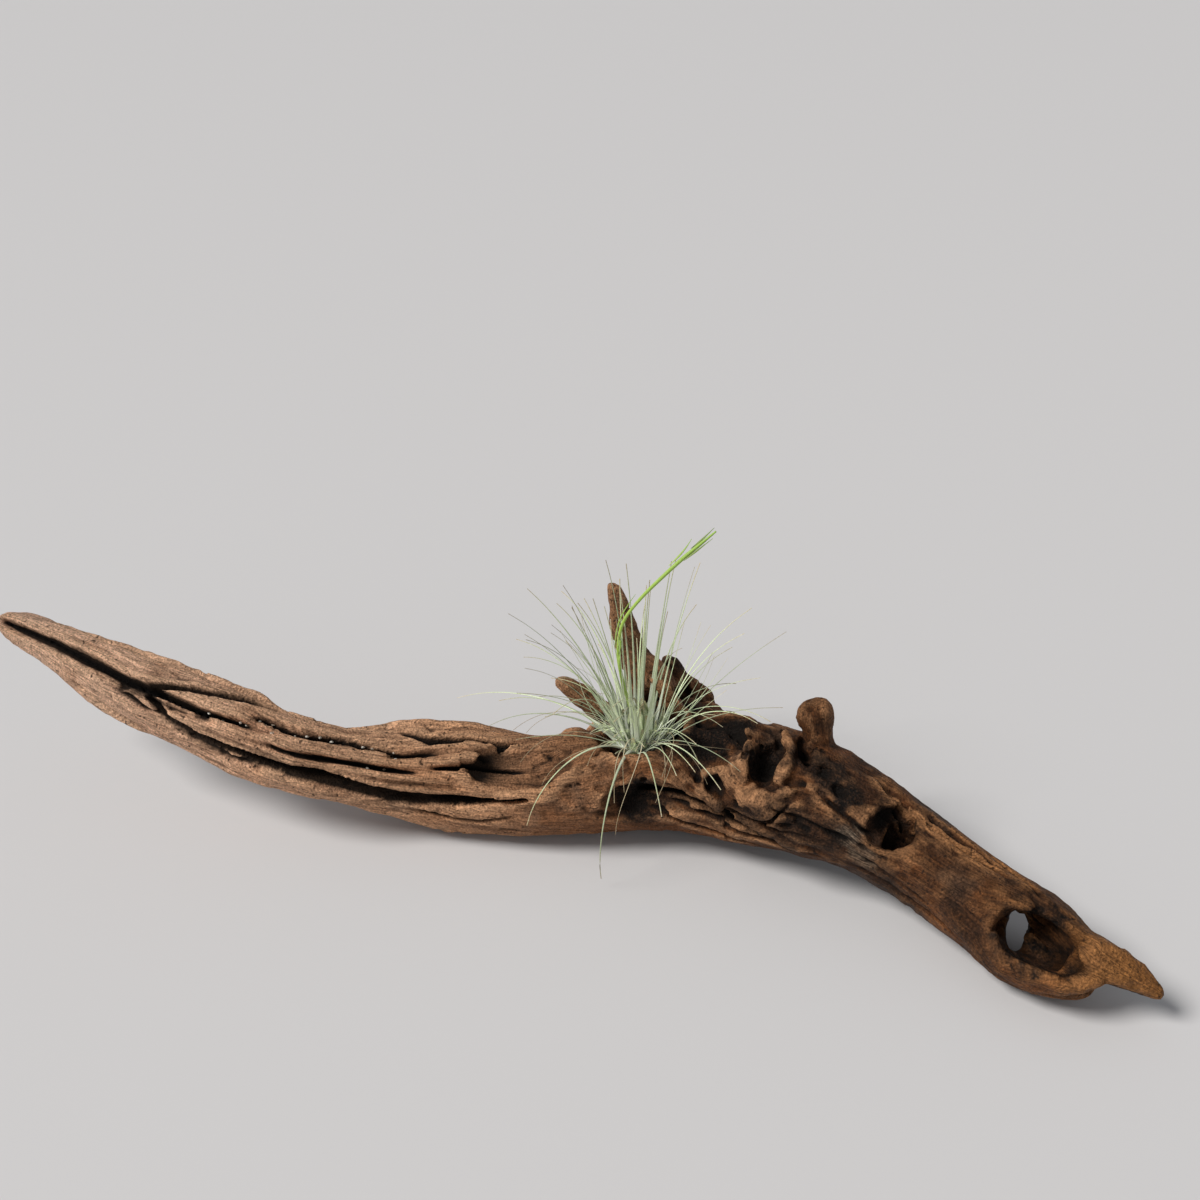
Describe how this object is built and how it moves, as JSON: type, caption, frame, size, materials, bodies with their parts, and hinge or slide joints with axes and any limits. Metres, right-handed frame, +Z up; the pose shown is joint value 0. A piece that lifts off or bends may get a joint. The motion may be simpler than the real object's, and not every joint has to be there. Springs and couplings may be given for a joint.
{
  "type": "piece of driftwood with air plant",
  "caption": "Long weathered driftwood branch with a hollow, horned burl that holds a thin-leaved air plant with a green flower stalk; a table display.",
  "frame": {"origin": "under the middle of the whole object, on the surface that it stands on", "axes": "+X along the wood from the raised tapering arm at the left to the beaked hollow arm at the right, +Y from the shown face to the back, +Z up"},
  "size_m": [0.584, 0.1506, 0.1587],
  "materials": {
    "weathered_wood": "matte, dry, sand-worn",
    "air_plant_leaf": "matte silver-green with fine scales",
    "flower_stem": "smooth, slightly waxy green"
  },
  "bodies": {
    "root": {"driftwood": "weathered_wood", "flower_bract_1": "flower_stem", "flower_bract_2": "flower_stem", "flower_bract_3": "flower_stem", "flower_bract_4": "flower_stem", "flower_bract_5": "flower_stem", "flower_stalk": "flower_stem", "leaf_01": "air_plant_leaf", "leaf_02": "air_plant_leaf", "leaf_03": "air_plant_leaf", "leaf_04": "air_plant_leaf", "leaf_05": "air_plant_leaf", "leaf_06": "air_plant_leaf", "leaf_07": "air_plant_leaf", "leaf_08": "air_plant_leaf", "leaf_09": "air_plant_leaf", "leaf_10": "air_plant_leaf", "leaf_11": "air_plant_leaf", "leaf_12": "air_plant_leaf", "leaf_13": "air_plant_leaf", "leaf_14": "air_plant_leaf", "leaf_15": "air_plant_leaf", "leaf_16": "air_plant_leaf", "leaf_17": "air_plant_leaf", "leaf_18": "air_plant_leaf", "leaf_19": "air_plant_leaf", "leaf_20": "air_plant_leaf", "leaf_21": "air_plant_leaf", "leaf_22": "air_plant_leaf", "leaf_23": "air_plant_leaf", "leaf_24": "air_plant_leaf", "leaf_25": "air_plant_leaf", "leaf_26": "air_plant_leaf", "leaf_27": "air_plant_leaf", "leaf_28": "air_plant_leaf", "leaf_29": "air_plant_leaf", "leaf_30": "air_plant_leaf", "leaf_31": "air_plant_leaf", "leaf_32": "air_plant_leaf", "leaf_33": "air_plant_leaf", "leaf_34": "air_plant_leaf", "leaf_35": "air_plant_leaf", "leaf_36": "air_plant_leaf", "leaf_37": "air_plant_leaf", "leaf_38": "air_plant_leaf", "leaf_39": "air_plant_leaf", "leaf_40": "air_plant_leaf", "leaf_41": "air_plant_leaf", "leaf_42": "air_plant_leaf", "leaf_43": "air_plant_leaf", "rosette_core": "air_plant_leaf", "scale_leaf_01": "air_plant_leaf", "scale_leaf_02": "air_plant_leaf", "scale_leaf_03": "air_plant_leaf", "scale_leaf_04": "air_plant_leaf", "scale_leaf_05": "air_plant_leaf", "scale_leaf_06": "air_plant_leaf"}
  },
  "joints": []
}
